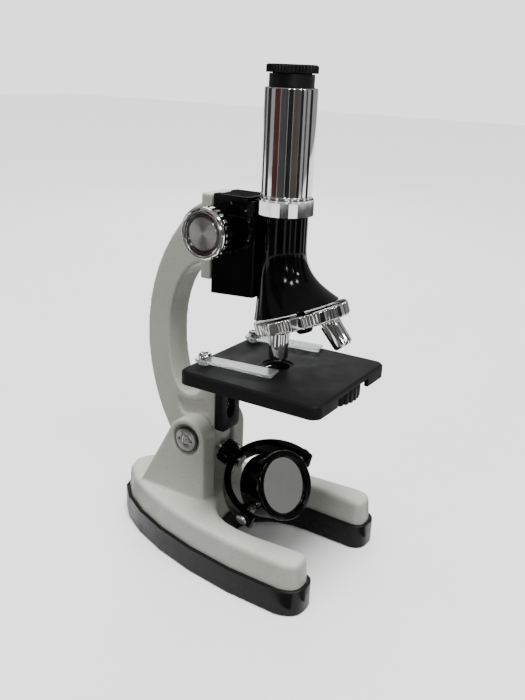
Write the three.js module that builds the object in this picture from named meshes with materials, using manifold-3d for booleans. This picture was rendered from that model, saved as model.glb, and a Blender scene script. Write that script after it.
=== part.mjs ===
// A small school microscope: horseshoe foot, tilting C-shaped arm, square stage, rack-focused head
// with a two-objective turret, and a mirror drum in a fork. Millimetres, +Z up. The foot stands on
// z = 0, its middle is over the origin, its open side and the stage point to -Y.
import * as THREE from "three";
import { mergeVertices } from "three/addons/utils/BufferGeometryUtils.js";
import Module from "manifold-3d";

const wasm = await Module();
wasm.setup();

// ---- Driving dimensions -------------------------------------------------------------------------
const GAP = 0.3;                 // clearance between touching pieces
const EPS = 0.5;                 // how far a cutter runs past the face it cuts
const FIT = 0.1;                 // clearance round shanks, pins and shafts in their bores

const SCREW_RADIUS = 1.5;        // every plain screw: shank, head, sunk head, reach into the casting
const SCREW_HEAD = 3;
const SCREW_SINK = 1.6;
const SCREW_DEPTH = 12;

const SHOE_HALF_WIDTH = 42.4;    // foot, outside
const FOOT_BACK = 61.6;
const FOOT_FRONT = -61.6;
const SHOE_HEIGHT = 12.3;
const SHOE_WALL = 1.5;
const SHOE_FLOOR = 2.5;
const FOOT_TOP = 24.2;           // top of the painted casting
const FOOT_FILLET = 2.2;
const FOOT_DRAFT = 0.7;          // how much the casting leans in on its way up
const LEG_WIDTH = 18.2;            // each leg of the horseshoe
const WEB_FRONT = -2;            // where the two legs join

const PIVOT_Y = 13.9;            // tilt axis, parallel to X
const PIVOT_Z = 53.8;
const PIVOT_BORE = 3.2;
const PILLAR_RADIUS = 10.2;
const PILLAR_THICKNESS = 9.9;
const PILLAR_FRONT = 3.6;
const PILLAR_BACK = 41.5;        // foot of the sloping back edge
const DISC_RADIUS = 6.4;         // metal cap in each pillar
const DISC_THICKNESS = 1.6;
const DISC_PROUD = 0.2;
const DISC_CUP = 2.7;            // cup for the screw in the middle of the disc
const DISC_CUP_DEPTH = 0.7;

const ARM_WIDTH = 14.6;
const ARM_POCKET_DEPTH = 1.4;
const ARM_INNER_Y = 31.8;        // furthest reach of the C's inner edge
const ARM_INNER_TOP = 136.8;
const ARM_STRIP_BACK = 8.6;      // upright strip behind the stage post
const ARM_STRIP_TOP = 88.2;
const ARM_HEEL = 12;             // below the tilt axis
const PLATE_BACK = 13.4;         // upright guide plate on top of the arm
const PLATE_FRONT = 7.8;
const PLATE_BOTTOM = 130;
const PLATE_TOP = 168;
const PLATE_WIDTH = 17.6;

const AXIS_Y = -23.7;            // optical axis
const STAGE_TOP = 95;
const STAGE_SKIRT = 6.2;
const STAGE_HALF_WIDTH = 33;
const STAGE_FRONT = -61.6;
const STAGE_BACK = 7;
const STAGE_PLATE = 2.4;
const STAGE_WALL = 2;
const STAGE_CORNER = 4.5;
const STAGE_HOLE = 5.6;
const NOTCH_HALF = 14.5;
const POST_FRONT = 0.6;
const POST_BACK = 4.6;
const POST_HALF_WIDTH = 7.4;
const POST_BOTTOM = 57;
const POST_SCREW_Z = 68.5;
const POST_SLOT_RADIUS = 3.1;
const POST_SLOT_HALF = 3;        // half the straight part of the slot
const POST_SCREW_LENGTH = 10;
const POST_TOP = STAGE_TOP - STAGE_PLATE - GAP;
const POST_TAB = 10;             // the post's top folds forward under the stage
const POST_TAB_THICKNESS = 2.4;
const STAGE_SCREW_X = 4;
const STAGE_SCREW_Y = POST_FRONT - 4;

const WHEEL_X = 3.6;
const WHEEL_Y = -38.9;
const WHEEL_RADIUS = 22;
const WHEEL_BOTTOM = 85.6;
const WHEEL_THICKNESS = 6;
const WHEEL_FLUTES = 40;
const WHEEL_PIN = 2;

const CLIP_X = 20.2;
const CLIP_Y = 1.6;
const CLIP_LENGTH = 33;
const CLIP_HEEL = 4;             // how far the clip runs behind its screw
const CLIP_WIDTH = 8.4;
const CLIP_THICKNESS = 1.2;
const CLIP_LIFT = 1.4;           // height of the clear collar under each clip
const CLIP_TURN_LEFT = 10;       // degrees about the screw, seen from above
const CLIP_TURN_RIGHT = 13;
const CLIP_SCREW = 1.6;

const CARRIAGE_HALF_WIDTH = 9.6;
const CARRIAGE_BACK = 7;
const CARRIAGE_BOTTOM = 124.6;
const CARRIAGE_RISE = 1.6;       // how much the underside rises towards the front
const CARRIAGE_LEDGE = 160.2;
const CARRIAGE_TOP = 168.4;
const CARRIAGE_FRONT = -15;      // front of the full-width part; a thinner web runs on to the bell
const CARRIAGE_WEB = 6;
const CARRIAGE_FRONT_TOP = -11;  // front of the raised cap above the ledge
const TOOTH_MODULE = 0.6;
const PINION_TEETH = 10;
const PINION_Y = 2.8;
const PINION_Z = 153.2;
const PINION_WIDTH = 5;
const SHAFT_RADIUS = 1.8;
const PITCH_RADIUS = (TOOTH_MODULE * PINION_TEETH) / 2;
const RACK_PITCH = PINION_Y + PITCH_RADIUS;
const RACK_HALF = 4.8;           // widest part of the dovetail, at its toothed face
const RACK_NECK = 3.5;
const RACK_BACK = PLATE_FRONT - GAP;
const RACK_FACE = RACK_PITCH - TOOTH_MODULE;
const RACK_HEAD = 2.1;           // screw heads: radius, and where they lie below the toothed face
const RACK_HEAD_TOP = 1.25;
const RACK_HEAD_SINK = 1.9;

const KNOB_RADIUS = 11.2;
const KNOB_FACE_X = 23;
const KNOB_LENGTH = 7.4;
const BOSS_RADIUS = 4;           // bearing boss on each side of the carriage
const KNOB_TEETH = 24;

const BELL_RADIUS = 9.8;
const BELL_TOP = 162;
const BELL_RIM_RADIUS = 19;
const BELL_RIM_Y = -31.6;
const BELL_RIM_Z = 122.2;
const BELL_BORE = 6;
const TURRET_TILT = 20;          // degrees between the turret's axis and the optical axis
const TURRET_Y = -34.3;          // centre of the turret disc, half way through it
const TURRET_Z = 119;
const TURRET_RADIUS = 20.8;
const TURRET_THICKNESS = 5.8;
const TURRET_FLUTES = 36;
const OBJECTIVE_RADIUS = 4.6;
const OBJECTIVE_THREAD = 3.6;
const OBJECTIVE_LENGTHS = [17.4, 16.4];   // from the middle of the disc to each tip
const OBJECTIVE_BORE = 2.4;
const TURRET_BOLT = 1.8;
const TURRET_BOLT_REACH = 14;
const TURRET_BOLT_HEAD = 3.7;

const RING_RADIUS = 11.9;
const RING_BOTTOM = 162.3;
const RING_TOP = 168.9;
const RING_FACETS = 20;
const RING_SPIGOT = 8.6;
const RING_SINK = 5;
const TUBE_RADIUS = 10.7;
const TUBE_WALL = 1.1;
const TUBE_TOP = 212.6;
const TUBE_SINK = 3;             // depth of the tube's seat in the collar
const DRAW_RADIUS = TUBE_RADIUS - TUBE_WALL - FIT;
const DRAW_LENGTH = 26;
const DRAW_WALL = 1.4;
const EYEPIECE_NECK = 9.2;
const EYEPIECE_TOP = 221.4;
const FLANGE_RADIUS = 10.5;
const FLANGE_THICKNESS = 3.3;
const FLANGE_FLUTES = 24;
const EYE_BORE = 4.2;

const DRUM_CENTRE = [0.4, -25, 34.5];
const DRUM_PITCH = 46;           // degrees the mirror faces up from the line of the stem
const DRUM_RADIUS = 16.2;
const DRUM_DEPTH = 17;
const DRUM_WALL = 1.6;
const MIRROR_RADIUS = 12.9;
const FORK_ROLL = 20;            // degrees about the stem, far side up
const FORK_SLOPE = 20;           // degrees the stem rises towards the arm
const FORK_INNER = 21;
const FORK_OUTER = 24.2;
const FORK_WIDTH = 7.6;
const HUB_RADIUS = 6;
const HUB_LENGTH = 6.6;
const HUB_START = FORK_OUTER + GAP;
const STEM_RADIUS = 2.2;
const STEM_REACH = 9;            // how far the stem runs on past its nut, into the arm
const PIN_RADIUS = 1.6;
const LAMP_RADIUS = 10;

// ---- Helpers ------------------------------------------------------------------------------------
const rad = THREE.MathUtils.degToRad;
const group = new THREE.Group();

const materials = {
  white: new THREE.MeshStandardMaterial({ color: 0xd6d6cf, roughness: 0.55, metalness: 0.0 }),
  black: new THREE.MeshStandardMaterial({ color: 0x0c0c0d, roughness: 0.25, metalness: 0.0 }),
  satin: new THREE.MeshStandardMaterial({ color: 0x1a1a1b, roughness: 0.6, metalness: 0.0 }),
  chrome: new THREE.MeshStandardMaterial({ color: 0xd8d9d8, roughness: 0.08, metalness: 1.0 }),
  steel: new THREE.MeshStandardMaterial({ color: 0xa8aaa8, roughness: 0.35, metalness: 1.0 }),
  brass: new THREE.MeshStandardMaterial({ color: 0xb89a52, roughness: 0.35, metalness: 1.0 }),
  clear: new THREE.MeshStandardMaterial({ color: 0xd5dcdb, roughness: 0.1, metalness: 0.0 }),
  mirror: new THREE.MeshStandardMaterial({ color: 0xb9bbb5, roughness: 0.02, metalness: 1.0 }),
};

function plain(geometry) {
  const copy = geometry.clone();
  copy.deleteAttribute("normal");
  copy.deleteAttribute("uv");
  return mergeVertices(copy, 1e-4);
}

function toSolid(geometry) {
  const merged = plain(geometry);
  const vertProperties = new Float32Array(merged.attributes.position.array);
  const triVerts = new Uint32Array(merged.index.array);
  return new wasm.Manifold(new wasm.Mesh({ numProp: 3, vertProperties, triVerts }));
}

function toGeometry(solid) {
  const mesh = solid.getMesh();
  const geometry = new THREE.BufferGeometry();
  geometry.setAttribute("position", new THREE.BufferAttribute(new Float32Array(mesh.vertProperties), 3));
  geometry.setIndex(new THREE.BufferAttribute(new Uint32Array(mesh.triVerts), 1));
  return geometry;
}

function join(first, ...others) {
  return toGeometry(others.reduce((solid, other) => solid.add(toSolid(other)), toSolid(first)));
}

function cut(first, ...cutters) {
  return toGeometry(cutters.reduce((solid, cutter) => solid.subtract(toSolid(cutter)), toSolid(first)));
}

function add(name, geometry, material, matrix) {
  const mesh = new THREE.Mesh(geometry, materials[material]);
  mesh.name = name;
  if (matrix) {
    mesh.applyMatrix4(matrix);
  }
  group.add(mesh);
  return mesh;
}

function rod(radius, from, to, segments = 24) {
  const start = new THREE.Vector3(...from);
  const end = new THREE.Vector3(...to);
  const geometry = new THREE.CylinderGeometry(radius, radius, start.distanceTo(end), segments);
  const turn = new THREE.Quaternion().setFromUnitVectors(
    new THREE.Vector3(0, 1, 0),
    end.clone().sub(start).normalize(),
  );
  geometry.applyQuaternion(turn);
  const middle = start.add(end).multiplyScalar(0.5);
  return geometry.translate(middle.x, middle.y, middle.z);
}

function block(low, high) {
  const size = high.map((value, axis) => value - low[axis]);
  const geometry = new THREE.BoxGeometry(...size);
  return geometry.translate(...low.map((value, axis) => value + size[axis] / 2));
}

// A turned piece: profile points are [radius, height], starting and ending on the axis or closed.
function turned(profile, segments = 32) {
  const points = profile.map(([radius, height]) => new THREE.Vector2(radius, height));
  return new THREE.LatheGeometry(points, segments).rotateX(Math.PI / 2);
}

function ringOf(inner, outer, bottom, top, segments = 32) {
  const profile = [[inner, bottom], [outer, bottom], [outer, top], [inner, top], [inner, bottom]];
  return turned(profile, segments);
}

// A shape in the Y-Z plane, extruded along X between two values.
function alongX(shape, from, to, steps = 7) {
  const geometry = alongZ(shape, 0, to - from, steps);
  const turn = new THREE.Matrix4().makeBasis(
    new THREE.Vector3(0, 1, 0),
    new THREE.Vector3(0, 0, 1),
    new THREE.Vector3(1, 0, 0),
  );
  return geometry.applyMatrix4(turn).translate(from, 0, 0);
}

// A shape in the X-Y plane, extruded up between two heights.
function alongZ(shape, from, to, steps = 7) {
  const options = { depth: to - from, bevelEnabled: false, curveSegments: steps };
  return new THREE.ExtrudeGeometry(shape, options).translate(0, 0, from);
}

// A knurled or fluted outline: the radius drops by depth at each of count grooves.
function flutedOutline(radius, depth, count, share = 0.5) {
  const shape = new THREE.Shape();
  const corners = [[0, 0], [share, 0], [share + 0.12, 1], [0.88, 1]];
  for (let index = 0; index < count; index += 1) {
    for (const [turn, drop] of corners) {
      const angle = ((index + turn) / count) * 2 * Math.PI;
      const reach = radius - depth * drop;
      const method = index === 0 && turn === 0 ? "moveTo" : "lineTo";
      shape[method](reach * Math.cos(angle), reach * Math.sin(angle));
    }
  }
  shape.closePath();
  return shape;
}

function circleHole(shape, x, y, radius) {
  const hole = new THREE.Path();
  hole.absarc(x, y, radius, 0, 2 * Math.PI, true);
  shape.holes.push(hole);
  return shape;
}

// Stacks outlines of equal length into one closed body: levels are { points, z }.
function stack(levels) {
  const count = levels[0].points.length;
  const positions = [];
  const indices = [];
  for (const { points, z } of levels) {
    points.forEach((point) => positions.push(point.x, point.y, z));
  }
  for (let level = 0; level + 1 < levels.length; level += 1) {
    for (let index = 0; index < count; index += 1) {
      const next = (index + 1) % count;
      const low = level * count;
      const high = low + count;
      indices.push(low + index, low + next, high + next, low + index, high + next, high + index);
    }
  }
  const last = (levels.length - 1) * count;
  for (const [a, b, c] of THREE.ShapeUtils.triangulateShape(levels[0].points, [])) {
    indices.push(c, b, a);
  }
  for (const [a, b, c] of THREE.ShapeUtils.triangulateShape(levels[levels.length - 1].points, [])) {
    indices.push(last + a, last + b, last + c);
  }
  const geometry = new THREE.BufferGeometry();
  geometry.setAttribute("position", new THREE.Float32BufferAttribute(positions, 3));
  geometry.setIndex(indices);
  return geometry;
}

// Moves every point of an anticlockwise outline inwards.
function inset(points, distance) {
  return points.map((point, index) => {
    const before = points[(index + points.length - 1) % points.length];
    const after = points[(index + 1) % points.length];
    const into = point.clone().sub(before).normalize();
    const out = after.clone().sub(point).normalize();
    const along = into.clone().add(out).normalize();
    const spread = Math.max(0.5, Math.cos(into.angleTo(out) / 2));
    return new THREE.Vector2(point.x - (along.y * distance) / spread, point.y + (along.x * distance) / spread);
  });
}

// ---- Foot ---------------------------------------------------------------------------------------
// The horseshoe's outline, anticlockwise, for the outside of the shoe.
function horseshoe() {
  const wide = SHOE_HALF_WIDTH;
  const inner = SHOE_HALF_WIDTH - LEG_WIDTH;
  const legTurn = FOOT_FRONT + 26;
  const corner = 6.5;
  const half = new THREE.Path();
  half.moveTo(0, WEB_FRONT);
  half.bezierCurveTo(inner * 0.62, WEB_FRONT, inner, legTurn + 26, inner, legTurn + 4);
  half.lineTo(inner - 1, FOOT_FRONT + corner);
  half.quadraticCurveTo(inner - 0.6, FOOT_FRONT, inner + corner, FOOT_FRONT);
  half.lineTo(wide - corner - 3, FOOT_FRONT);
  half.quadraticCurveTo(wide - 2, FOOT_FRONT, wide - 0.6, FOOT_FRONT + corner + 3);
  half.bezierCurveTo(wide + 0.6, FOOT_FRONT + 70, wide * 0.46, FOOT_BACK, 0, FOOT_BACK);
  const right = half.getPoints(7);
  const left = right.slice(1, -1).reverse().map((point) => new THREE.Vector2(-point.x, point.y));
  return [...right, ...left];
}

function baseShoe() {
  const outline = horseshoe();
  const body = stack([
    { points: inset(outline, 0.8), z: 0 },
    { points: outline, z: 0.8 },
    { points: outline, z: SHOE_HEIGHT - 0.5 },
    { points: inset(outline, 0.5), z: SHOE_HEIGHT },
  ]);
  const cavity = inset(outline, SHOE_WALL);
  const tray = stack([{ points: cavity, z: SHOE_FLOOR }, { points: cavity, z: SHOE_HEIGHT + EPS }]);
  const places = shoeScrewPlaces();
  const holes = places.map(([x, y]) => rod(SCREW_RADIUS + GAP, [x, y, -EPS], [x, y, SHOE_FLOOR + EPS], 16));
  const sinks = places.map(([x, y]) => rod(SCREW_HEAD + GAP, [x, y, -EPS], [x, y, SCREW_SINK], 20));
  return cut(body, tray, ...holes, ...sinks);
}

function shoeScrewPlaces() {
  const leg = SHOE_HALF_WIDTH - LEG_WIDTH / 2;
  return [[-leg, FOOT_FRONT + 14], [leg, FOOT_FRONT + 14], [0, FOOT_BACK - 22]];
}

function pillarShape() {
  const shape = new THREE.Shape();
  const slope = Math.atan2(PIVOT_Z - FOOT_TOP, PILLAR_BACK - PIVOT_Y);
  const reach = Math.hypot(PIVOT_Z - FOOT_TOP, PILLAR_BACK - PIVOT_Y);
  const tangent = Math.acos(PILLAR_RADIUS / reach) - slope;
  shape.moveTo(PILLAR_FRONT, FOOT_TOP - 4);
  shape.lineTo(PILLAR_BACK + 2, FOOT_TOP - 4);
  shape.lineTo(PILLAR_BACK, FOOT_TOP);
  shape.absarc(PIVOT_Y, PIVOT_Z, PILLAR_RADIUS, tangent, Math.PI, false);
  shape.closePath();
  return shape;
}

function baseCasting() {
  const outline = inset(horseshoe(), SHOE_WALL + GAP);
  const levels = [
    { points: outline, z: SHOE_FLOOR + GAP },
    { points: outline, z: SHOE_HEIGHT },
    { points: inset(outline, FOOT_DRAFT), z: FOOT_TOP - FOOT_FILLET },
    { points: inset(outline, FOOT_DRAFT + FOOT_FILLET * 0.29), z: FOOT_TOP - FOOT_FILLET * 0.29 },
    { points: inset(outline, FOOT_DRAFT + FOOT_FILLET), z: FOOT_TOP },
  ];
  const inner = ARM_WIDTH / 2 + GAP;
  const outer = inner + PILLAR_THICKNESS;
  const pillars = [alongX(pillarShape(), -outer, -inner), alongX(pillarShape(), inner, outer)];
  const past = outer + EPS;
  const bore = rod(PIVOT_BORE + FIT, [-past, PIVOT_Y, PIVOT_Z], [past, PIVOT_Y, PIVOT_Z]);
  const recesses = [-1, 1].map((side) => rod(
    DISC_RADIUS + 1,
    [side * (outer - DISC_THICKNESS), PIVOT_Y, PIVOT_Z],
    [side * (outer + EPS), PIVOT_Y, PIVOT_Z],
  ));
  const screws = shoeScrewPlaces().map(
    ([x, y]) => rod(SCREW_RADIUS + FIT, [x, y, 0], [x, y, SCREW_DEPTH + GAP], 16),
  );
  return cut(join(stack(levels), ...pillars), bore, ...recesses, ...screws);
}

function shoeScrew([x, y]) {
  return join(
    rod(SCREW_HEAD, [x, y, SCREW_SINK - 1.2], [x, y, SCREW_SINK - 0.2], 20),
    rod(SCREW_RADIUS, [x, y, SCREW_SINK - 0.4], [x, y, SCREW_DEPTH], 16),
  );
}

// ---- Tilt joint ---------------------------------------------------------------------------------
function pivotHalf() {
  return ARM_WIDTH / 2 + GAP + PILLAR_THICKNESS;
}

function pivotShaft() {
  const end = pivotHalf() - DISC_THICKNESS - GAP;
  return rod(PIVOT_BORE, [-end, PIVOT_Y, PIVOT_Z], [end, PIVOT_Y, PIVOT_Z]);
}

function pivotDisc(side) {
  const face = pivotHalf() + DISC_PROUD;
  const back = face - DISC_THICKNESS + DISC_PROUD;
  const disc = rod(DISC_RADIUS, [side * back, PIVOT_Y, PIVOT_Z], [side * face, PIVOT_Y, PIVOT_Z], 28);
  const spanner = [-1, 1].map((end) => {
    const y = PIVOT_Y + end * DISC_RADIUS * 0.55;
    return rod(0.7, [side * (face - 0.9), y, PIVOT_Z], [side * (face + EPS), y, PIVOT_Z], 14);
  });
  const cup = rod(
    DISC_CUP,
    [side * (face - DISC_CUP_DEPTH), PIVOT_Y, PIVOT_Z],
    [side * (face + EPS), PIVOT_Y, PIVOT_Z],
    24,
  );
  return cut(disc, cup, ...spanner);
}

function pivotScrew(side) {
  const face = pivotHalf() + DISC_PROUD;
  const seat = face - DISC_CUP_DEPTH + 0.05;
  const top = face + 0.1;
  const head = rod(DISC_CUP - 0.5, [side * seat, PIVOT_Y, PIVOT_Z], [side * top, PIVOT_Y, PIVOT_Z], 24);
  const ends = [side * (face - 0.3), side * (face + 1)];
  const slot = block(
    [Math.min(...ends), PIVOT_Y - 0.35, PIVOT_Z - DISC_CUP],
    [Math.max(...ends), PIVOT_Y + 0.35, PIVOT_Z + DISC_CUP],
  );
  return cut(head, slot);
}

// ---- Arm ----------------------------------------------------------------------------------------
// Side view of the C, in Y and Z. The back is one sweep from heel to guide plate.
function armShape() {
  const shape = new THREE.Shape();
  shape.moveTo(POST_BACK + GAP, PIVOT_Z - 3);
  shape.quadraticCurveTo(POST_BACK + 2, PIVOT_Z - ARM_HEEL, PIVOT_Y + 1, PIVOT_Z - ARM_HEEL);
  shape.quadraticCurveTo(PIVOT_Y + 13, PIVOT_Z - ARM_HEEL + 1, PIVOT_Y + 18, PIVOT_Z - 1);
  shape.bezierCurveTo(PIVOT_Y + 26, 66, 44.4, 84, 44.4, 99);
  shape.bezierCurveTo(44.4, 118, 38.5, 138, 25.6, 153.2);
  shape.bezierCurveTo(23.4, 157.4, 19.4, 161.8, PLATE_BACK - 1, 164);
  shape.lineTo(PLATE_BACK - 1, ARM_INNER_TOP);
  shape.bezierCurveTo(22, ARM_INNER_TOP, ARM_INNER_Y, 122, ARM_INNER_Y, 101);
  shape.bezierCurveTo(ARM_INNER_Y, 84, 28, 72, 20.8, 72);
  shape.quadraticCurveTo(15.5, 72, 13.8, 75.6);
  shape.quadraticCurveTo(12, 80, ARM_STRIP_BACK, 81);
  shape.lineTo(ARM_STRIP_BACK, ARM_STRIP_TOP);
  shape.lineTo(POST_BACK + GAP, ARM_STRIP_TOP);
  shape.closePath();
  return shape;
}

// The shallow panel sunk into each side of the arm's foot.
function armFootPocket() {
  const shape = new THREE.Shape();
  shape.moveTo(ARM_STRIP_BACK, 64);
  shape.lineTo(ARM_STRIP_BACK, 69);
  shape.quadraticCurveTo(ARM_STRIP_BACK + 0.4, 71.6, ARM_STRIP_BACK + 3, 71);
  shape.quadraticCurveTo(21, 67.6, 26, 70);
  shape.quadraticCurveTo(27, 65, 23, 61);
  shape.closePath();
  return shape;
}

function armCasting() {
  const half = ARM_WIDTH / 2;
  const plate = block([-PLATE_WIDTH / 2, PLATE_FRONT, PLATE_BOTTOM], [PLATE_WIDTH / 2, PLATE_BACK, PLATE_TOP]);
  const cutters = [];
  for (const side of [-1, 1]) {
    const low = Math.min(side * (half - ARM_POCKET_DEPTH), side * (half + EPS));
    const high = Math.max(side * (half - ARM_POCKET_DEPTH), side * (half + EPS));
    cutters.push(alongX(armFootPocket(), low, high));
  }
  const bore = rod(PIVOT_BORE + FIT, [-half - EPS, PIVOT_Y, PIVOT_Z], [half + EPS, PIVOT_Y, PIVOT_Z]);
  const postEnd = POST_BACK + POST_SCREW_LENGTH;
  const postHole = rod(SCREW_RADIUS + FIT, [0, 0, POST_SCREW_Z], [0, postEnd, POST_SCREW_Z], 16);
  const rackEnd = PLATE_BACK + 4;
  const rackHoles = rackScrewHeights().map((z) => rod(SCREW_RADIUS + FIT, [0, 0, z], [0, rackEnd, z], 16));
  const stemHole = rod(STEM_RADIUS + FIT, stemPoint(-1), stemPoint(STEM_REACH + GAP), 20);
  return cut(join(alongX(armShape(), -half, half), plate), ...cutters, bore, postHole, ...rackHoles, stemHole);
}

// ---- Stage --------------------------------------------------------------------------------------
function roundedRectangle(left, right, front, back, corner) {
  const shape = new THREE.Shape();
  shape.moveTo(left + corner, front);
  shape.lineTo(right - corner, front);
  shape.absarc(right - corner, front + corner, corner, -Math.PI / 2, 0, false);
  shape.lineTo(right, back - corner);
  shape.absarc(right - corner, back - corner, corner, 0, Math.PI / 2, false);
  shape.lineTo(left + corner, back);
  shape.absarc(left + corner, back - corner, corner, Math.PI / 2, Math.PI, false);
  shape.lineTo(left, front + corner);
  shape.absarc(left + corner, front + corner, corner, Math.PI, 1.5 * Math.PI, false);
  return shape;
}

function stageScrewHole(side, bottom) {
  const x = side * STAGE_SCREW_X;
  return rod(SCREW_RADIUS + FIT, [x, STAGE_SCREW_Y, bottom], [x, STAGE_SCREW_Y, STAGE_TOP - 1], 14);
}

function stagePlate() {
  const outline = roundedRectangle(-STAGE_HALF_WIDTH, STAGE_HALF_WIDTH, STAGE_FRONT, STAGE_BACK, STAGE_CORNER)
    .getPoints(5)
    .slice(0, -1);
  const bottom = STAGE_TOP - STAGE_SKIRT;
  const body = stack([
    { points: outline, z: bottom },
    { points: outline, z: STAGE_TOP - 0.9 },
    { points: inset(outline, 0.9), z: STAGE_TOP },
  ]);
  const inside = alongZ(
    roundedRectangle(
      -STAGE_HALF_WIDTH + STAGE_WALL,
      STAGE_HALF_WIDTH - STAGE_WALL,
      STAGE_FRONT + STAGE_WALL,
      STAGE_BACK - STAGE_WALL,
      STAGE_CORNER - STAGE_WALL,
    ),
    bottom - EPS,
    STAGE_TOP - STAGE_PLATE,
  );
  const hole = rod(STAGE_HOLE, [0, AXIS_Y, bottom], [0, AXIS_Y, STAGE_TOP + EPS], 28);
  const step = rod(STAGE_HOLE + 1.4, [0, AXIS_Y, STAGE_TOP - 0.7], [0, AXIS_Y, STAGE_TOP + EPS], 28);
  const notch = block(
    [-NOTCH_HALF, STAGE_FRONT - EPS, bottom - EPS],
    [NOTCH_HALF, STAGE_FRONT + 2 * STAGE_WALL, STAGE_TOP - STAGE_PLATE],
  );
  const screws = [-1, 1].map((side) => rod(
    CLIP_SCREW + FIT,
    [side * CLIP_X, CLIP_Y, bottom - EPS],
    [side * CLIP_X, CLIP_Y, STAGE_TOP + EPS],
    18,
  ));
  const rivet = rod(WHEEL_PIN + FIT, [WHEEL_X, WHEEL_Y, bottom], [WHEEL_X, WHEEL_Y, STAGE_TOP - 1], 18);
  const posts = [-1, 1].map((side) => stageScrewHole(side, bottom));
  return cut(body, inside, hole, step, notch, rivet, ...screws, ...posts);
}

function stagePost() {
  const shape = new THREE.Shape();
  const wide = POST_HALF_WIDTH;
  shape.moveTo(-wide + 1.6, POST_BOTTOM);
  shape.lineTo(wide - 1.6, POST_BOTTOM);
  shape.lineTo(wide, POST_BOTTOM + 1.6);
  shape.lineTo(wide, POST_TOP);
  shape.lineTo(-wide, POST_TOP);
  shape.lineTo(-wide, POST_BOTTOM + 1.6);
  shape.closePath();
  const slot = new THREE.Path();
  slot.absarc(0, POST_SCREW_Z + POST_SLOT_HALF, POST_SLOT_RADIUS, 0, Math.PI, false);
  slot.absarc(0, POST_SCREW_Z - POST_SLOT_HALF, POST_SLOT_RADIUS, Math.PI, 2 * Math.PI, false);
  shape.holes.push(slot);
  const turn = new THREE.Matrix4().makeBasis(
    new THREE.Vector3(1, 0, 0),
    new THREE.Vector3(0, 0, 1),
    new THREE.Vector3(0, -1, 0),
  );
  const upright = alongZ(shape, 0, POST_BACK - POST_FRONT, 10);
  upright.applyMatrix4(turn).translate(0, POST_BACK, 0);
  const tabFront = POST_FRONT - POST_TAB + 2;
  const tab = block([-wide, tabFront, POST_TOP - POST_TAB_THICKNESS], [wide, POST_FRONT + 1, POST_TOP]);
  const holes = [-1, 1].map((side) => stageScrewHole(side, POST_TOP - POST_TAB_THICKNESS - 1));
  return cut(join(upright, tab), ...holes);
}

function postScrew() {
  const rim = SCREW_HEAD - 0.2;
  const head = turned([[0, 0], [rim - 0.4, 0], [rim, 0.6], [rim, 1.2], [0, 1.2]], 24);
  const cross = [[0.35, 1.7], [1.7, 0.35]].map(([x, y]) => block([-x, -y, -EPS], [x, y, 0.8]));
  const shank = rod(SCREW_RADIUS, [0, 0, 1], [0, 0, POST_SCREW_LENGTH], 16);
  return join(cut(head, ...cross), shank).rotateX(-Math.PI / 2).translate(0, POST_BACK - 1.6, POST_SCREW_Z);
}

function stageScrew(side) {
  const x = side * STAGE_SCREW_X;
  const y = STAGE_SCREW_Y;
  const under = POST_TOP - POST_TAB_THICKNESS;
  return join(
    rod(SCREW_HEAD - 0.4, [x, y, under - 1.5], [x, y, under - GAP], 20),
    rod(SCREW_RADIUS, [x, y, under - 0.6], [x, y, STAGE_TOP - 1.3], 14),
  );
}

function diaphragmWheel() {
  const shape = flutedOutline(WHEEL_RADIUS, 0.7, WHEEL_FLUTES);
  const reach = Math.hypot(WHEEL_X, AXIS_Y - WHEEL_Y);
  const start = Math.atan2(AXIS_Y - WHEEL_Y, -WHEEL_X);
  const radii = [4.6, 3.8, 3, 2.2, 1.4];
  radii.forEach((radius, index) => {
    const angle = start + (index / radii.length) * 2 * Math.PI;
    circleHole(shape, reach * Math.cos(angle), reach * Math.sin(angle), radius);
  });
  circleHole(shape, 0, 0, WHEEL_PIN + FIT);
  return alongZ(shape, WHEEL_BOTTOM, WHEEL_BOTTOM + WHEEL_THICKNESS, 6).translate(WHEEL_X, WHEEL_Y, 0);
}

function diaphragmRivet() {
  const bottom = WHEEL_BOTTOM - GAP;
  return join(
    rod(WHEEL_PIN, [WHEEL_X, WHEEL_Y, bottom - 0.5], [WHEEL_X, WHEEL_Y, STAGE_TOP - 1.3], 20),
    rod(WHEEL_PIN + 2, [WHEEL_X, WHEEL_Y, bottom - 1.4], [WHEEL_X, WHEEL_Y, bottom], 24),
  );
}

function clipPlace(side) {
  return new THREE.Vector3(side * CLIP_X, CLIP_Y, STAGE_TOP);
}

function stageClip(side) {
  const shape = new THREE.Shape();
  const low = CLIP_LIFT + GAP;
  const tip = 0.7;
  const heel = CLIP_HEEL;
  shape.moveTo(-heel, low);
  shape.lineTo(heel, low);
  shape.lineTo(CLIP_LENGTH - 3, tip);
  shape.lineTo(CLIP_LENGTH, tip + 2);
  shape.lineTo(CLIP_LENGTH - 0.8, tip + 2 + CLIP_THICKNESS * 0.8);
  shape.lineTo(CLIP_LENGTH - 3.4, tip + CLIP_THICKNESS);
  shape.lineTo(heel, low + CLIP_THICKNESS);
  shape.lineTo(-heel, low + CLIP_THICKNESS);
  shape.closePath();
  const strip = alongX(shape, -CLIP_WIDTH / 2, CLIP_WIDTH / 2).rotateZ(Math.PI);
  const hole = rod(CLIP_SCREW + FIT, [0, 0, 0], [0, 0, 9], 18);
  const turn = rad(side < 0 ? CLIP_TURN_LEFT : CLIP_TURN_RIGHT);
  const place = clipPlace(side);
  return cut(strip, hole).rotateZ(turn).translate(place.x, place.y, place.z);
}

function clipCollar(side) {
  const place = clipPlace(side);
  return ringOf(CLIP_SCREW + FIT, 3.1, GAP, CLIP_LIFT, 24).translate(place.x, place.y, place.z);
}

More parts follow.
